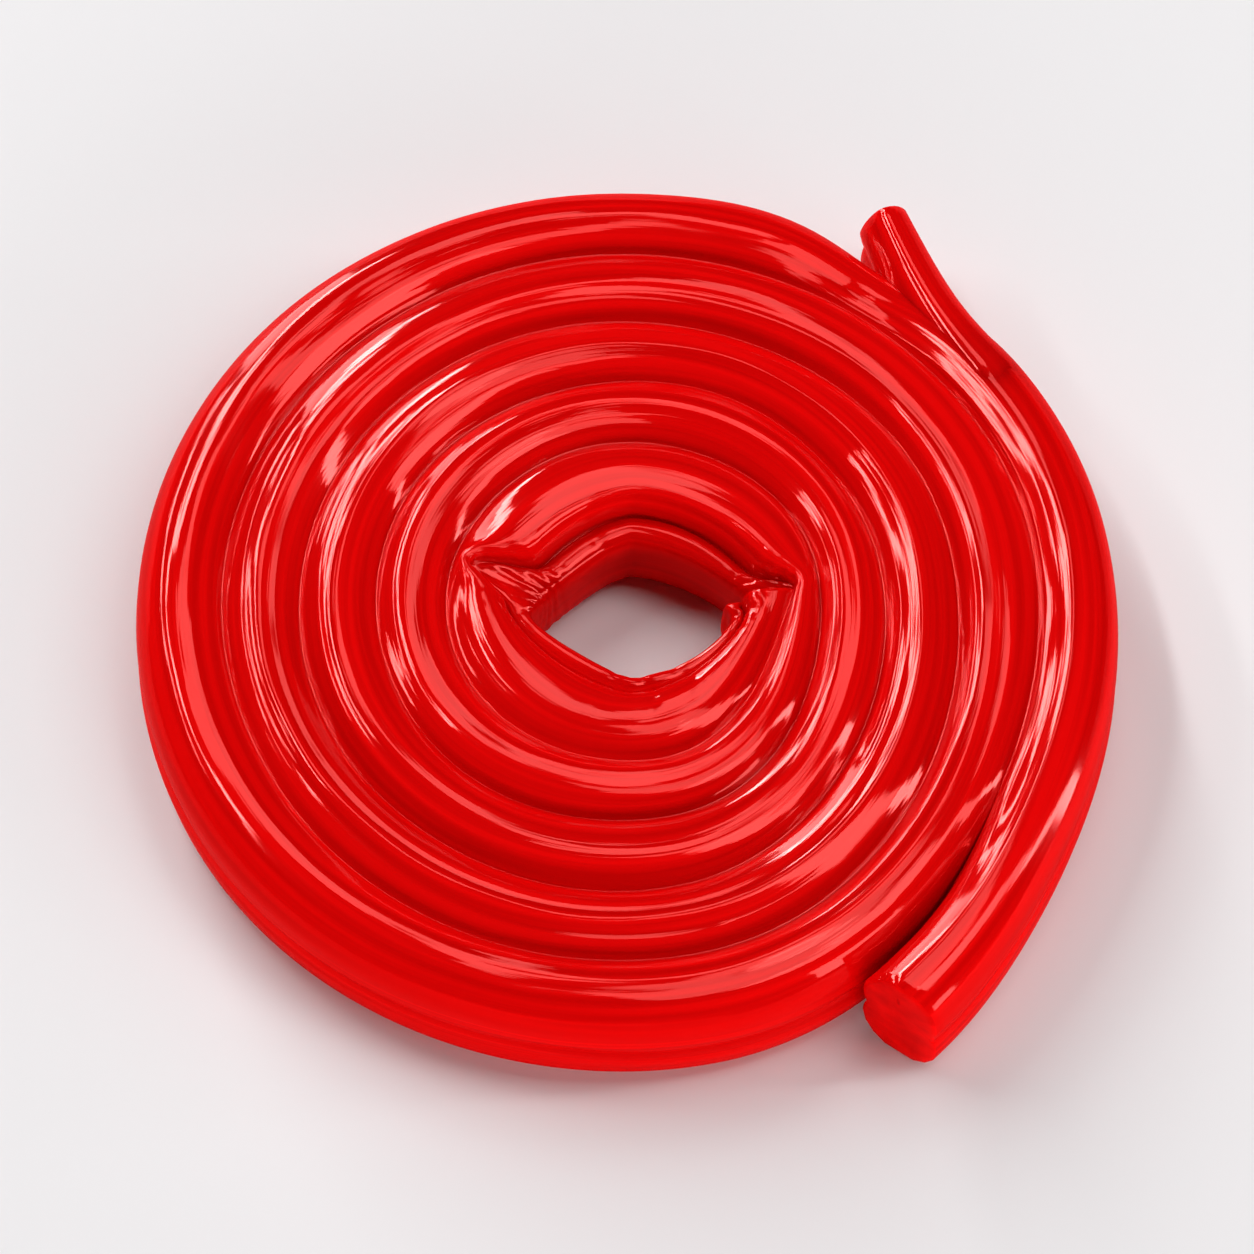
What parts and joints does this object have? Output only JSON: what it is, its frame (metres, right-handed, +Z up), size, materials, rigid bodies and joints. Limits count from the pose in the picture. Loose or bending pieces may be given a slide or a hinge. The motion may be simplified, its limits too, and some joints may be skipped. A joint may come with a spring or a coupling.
{
  "type": "strawberry licorice wheel",
  "caption": "Flat coil of a soft red ribbon with ridged turns, a diamond-shaped hole in the middle, a cut end at the rim and a short loose tip.",
  "frame": {"origin": "on the underside, under the middle of the wheel's outline", "axes": "+Z up through the coil's face, +X to the right and +Y to the back as the picture shows it; the cut outer end is at the front right, and the short loose tip at the back right"},
  "size_m": [0.0512, 0.0506, 0.0072],
  "materials": {
    "strawberry_gum": "wet-looking gloss, slightly see-through strawberry red"
  },
  "bodies": {
    "root": {"licorice_wheel": "strawberry_gum"}
  },
  "joints": []
}
